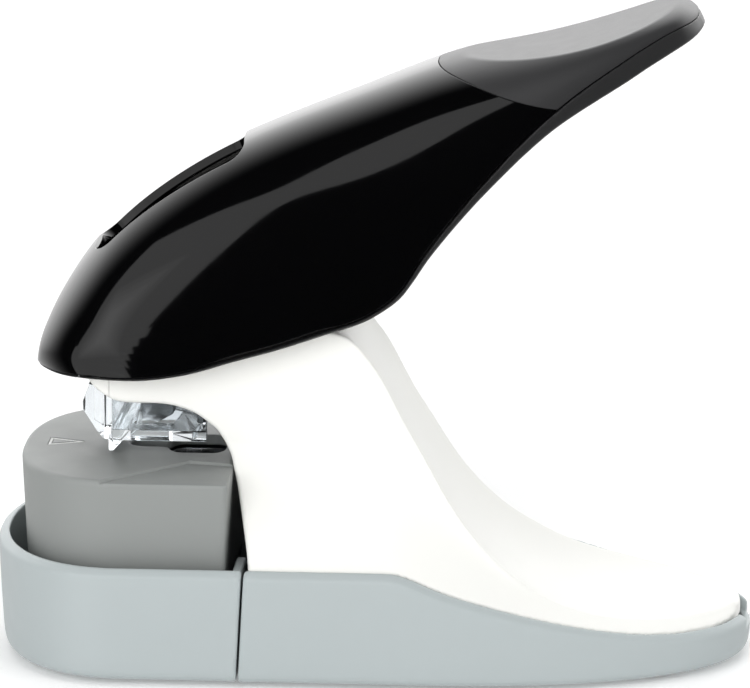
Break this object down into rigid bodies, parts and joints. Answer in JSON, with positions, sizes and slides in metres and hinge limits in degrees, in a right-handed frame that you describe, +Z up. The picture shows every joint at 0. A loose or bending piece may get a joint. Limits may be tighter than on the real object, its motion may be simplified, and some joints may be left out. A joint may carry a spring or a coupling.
{
  "type": "stapleless stapler",
  "caption": "Desktop punch-and-tuck stapler with a long raised press lever, a saddle-shaped body, a lower jaw with a keyhole die and a flat base on feet.",
  "frame": {"origin": "centre of the footprint on the table, under the feet", "axes": "+X from the paper side to the heel of the foot, +Y across the object to its far side, +Z up"},
  "size_m": [0.1204, 0.0536, 0.106],
  "materials": {
    "base_plastic": "satin moulded, fine texture",
    "body_plastic": "smooth semi-gloss white",
    "pod_plastic": "matte fine texture",
    "cover_gloss": "high gloss black",
    "pad_plastic": "matte soft-touch",
    "underframe_plastic": "matte moulded",
    "dark_plastic": "moulded engineering plastic",
    "folder_plastic": "moulded acetal",
    "clear_plastic": "clear polycarbonate",
    "frame_steel": "zinc plated pressed sheet",
    "pin_steel": "turned",
    "screw_steel": "zinc plated",
    "blade_steel": "ground",
    "die_steel": "ground",
    "spring_steel": "bright wire",
    "foot_rubber": "matte"
  },
  "bodies": {
    "stand": {"base_rear": "base_plastic", "base_front": "base_plastic", "floor_plate": "frame_steel", "rubber_foot_1": "foot_rubber", "rubber_foot_2": "foot_rubber", "rubber_foot_3": "foot_rubber", "rubber_foot_4": "foot_rubber", "base_screw_1": "screw_steel", "base_screw_2": "screw_steel", "base_screw_3": "screw_steel", "tray_screw_1": "screw_steel", "tray_screw_2": "screw_steel", "body_shell": "body_plastic", "throat_liner": "dark_plastic", "frame_plate_near": "frame_steel", "frame_plate_far": "frame_steel", "frame_spacer_top": "frame_steel", "frame_spacer_mid": "frame_steel", "frame_spacer_low": "frame_steel", "pivot_pin": "pin_steel", "spring_seat": "frame_steel", "return_spring": "spring_steel", "clear_guide": "clear_plastic", "pod_housing": "pod_plastic", "die_plate": "die_steel", "die_block": "dark_plastic", "folder_pin": "pin_steel"},
    "lever": {"lever_cover": "cover_gloss", "palm_pad": "pad_plastic", "lever_underframe": "underframe_plastic", "lever_bracket": "frame_steel", "drive_pin": "pin_steel", "window_well": "dark_plastic"},
    "punch": {"punch_holder": "dark_plastic", "tongue_blade": "blade_steel", "slit_knife": "blade_steel"},
    "folder": {"tongue_folder": "folder_plastic"}
  },
  "joints": [
    {"name": "lever_hinge", "type": "hinge", "parent": "stand", "child": "lever", "pos_m": [-0.0415, 0, 0.0508], "axis": [0, 1, 0], "range_deg": [0, 26], "stiffness_Nm_per_rad": 0.35, "springref_deg": -28.65, "deforming": ["return_spring"]},
    {"name": "punch_slide", "type": "slide", "parent": "stand", "child": "punch", "axis": [0, 0, -1], "range_m": [0, 0.0064]},
    {"name": "folder_hinge", "type": "hinge", "parent": "stand", "child": "folder", "pos_m": [-0.0316, 0, 0.0215], "axis": [0, -1, 0], "range_deg": [0, 23]}
  ],
  "couplings": [
    {"joint": "punch_slide", "follows": "lever_hinge", "m_per_rad": 0.01378},
    {"joint": "folder_hinge", "follows": "lever_hinge", "ratio": 0.85}
  ]
}
